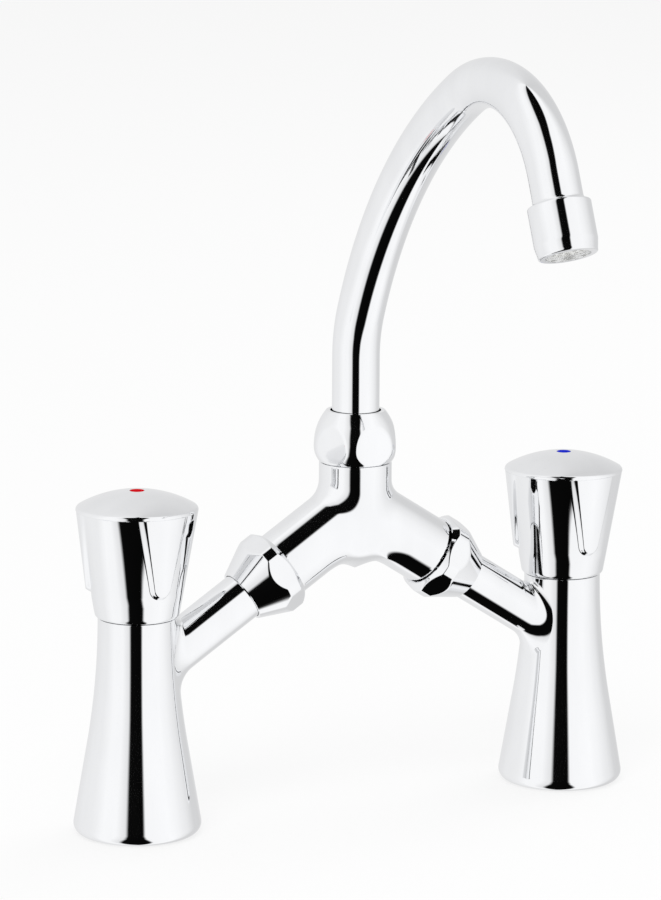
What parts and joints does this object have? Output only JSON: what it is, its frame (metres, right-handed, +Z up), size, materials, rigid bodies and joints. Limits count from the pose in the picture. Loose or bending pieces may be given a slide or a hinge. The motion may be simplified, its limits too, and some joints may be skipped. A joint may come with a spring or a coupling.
{
  "type": "two-handle deck mixer tap",
  "caption": "Bridge mixer tap with separate hot and cold pillars, three-lobed handles, a coupling bridge and a swivelling swan-neck spout with aerator.",
  "frame": {"origin": "on the deck, midway between the two tap centres", "axes": "+Z up, +X from the hot tap to the cold tap, the spout reaches towards -Y at rest"},
  "size_m": [0.2276, 0.1925, 0.2953],
  "materials": {
    "chrome": "polished chrome plate",
    "turned_brass": "turned brass",
    "black_rubber": "moulded rubber",
    "fibre": "pressed fibre",
    "steel": "stainless steel",
    "white_plastic": "moulded plastic",
    "hot_index": "glossy red",
    "cold_index": "glossy blue"
  },
  "bodies": {
    "fixed": {"hot_pillar": "chrome", "hot_base_seal": "black_rubber", "hot_bonnet": "turned_brass", "hot_bonnet_washer": "fibre", "hot_union_nut": "chrome", "hot_union_seal": "black_rubber", "hot_union_ring": "turned_brass", "cold_pillar": "chrome", "cold_base_seal": "black_rubber", "cold_bonnet": "turned_brass", "cold_bonnet_washer": "fibre", "cold_union_nut": "chrome", "cold_union_seal": "black_rubber", "cold_union_ring": "turned_brass", "bridge_body": "chrome", "swivel_nut": "chrome", "slip_ring": "white_plastic", "swivel_ring": "white_plastic"},
    "spout": {"spout_tube": "chrome", "spout_bush": "turned_brass", "spout_orings": "black_rubber", "aerator_housing": "chrome", "aerator_seal": "black_rubber", "aerator_strainer": "steel", "aerator_insert": "white_plastic"},
    "hot_control": {"hot_spindle": "turned_brass", "hot_spindle_oring": "black_rubber", "hot_spindle_clip": "steel", "hot_handle": "chrome", "hot_handle_screw": "steel", "hot_handle_cap": "chrome", "hot_index": "hot_index"},
    "hot_valve": {"hot_valve_carrier": "turned_brass", "hot_valve_washer": "black_rubber", "hot_washer_screw": "turned_brass"},
    "cold_control": {"cold_spindle": "turned_brass", "cold_spindle_oring": "black_rubber", "cold_spindle_clip": "steel", "cold_handle": "chrome", "cold_handle_screw": "steel", "cold_handle_cap": "chrome", "cold_index": "cold_index"},
    "cold_valve": {"cold_valve_carrier": "turned_brass", "cold_valve_washer": "black_rubber", "cold_washer_screw": "turned_brass"}
  },
  "joints": [
    {"name": "spout_swivel", "type": "hinge", "parent": "fixed", "child": "spout", "pos_m": [0, 0, 0.14], "axis": [0, 0, 1], "continuous": true},
    {"name": "hot_turn", "type": "hinge", "parent": "fixed", "child": "hot_control", "pos_m": [-0.09, 0, 0.1], "axis": [0, 0, 1], "range_deg": [0, 540]},
    {"name": "hot_lift", "type": "slide", "parent": "fixed", "child": "hot_valve", "axis": [0, 0, 1], "range_m": [0, 0.003]},
    {"name": "cold_turn", "type": "hinge", "parent": "fixed", "child": "cold_control", "pos_m": [0.09, 0, 0.1], "axis": [0, 0, 1], "range_deg": [0, 540]},
    {"name": "cold_lift", "type": "slide", "parent": "fixed", "child": "cold_valve", "axis": [0, 0, 1], "range_m": [0, 0.003]}
  ],
  "couplings": [
    {"joint": "hot_lift", "follows": "hot_turn", "m_per_rad": 0.000318},
    {"joint": "cold_lift", "follows": "cold_turn", "m_per_rad": 0.000318}
  ]
}
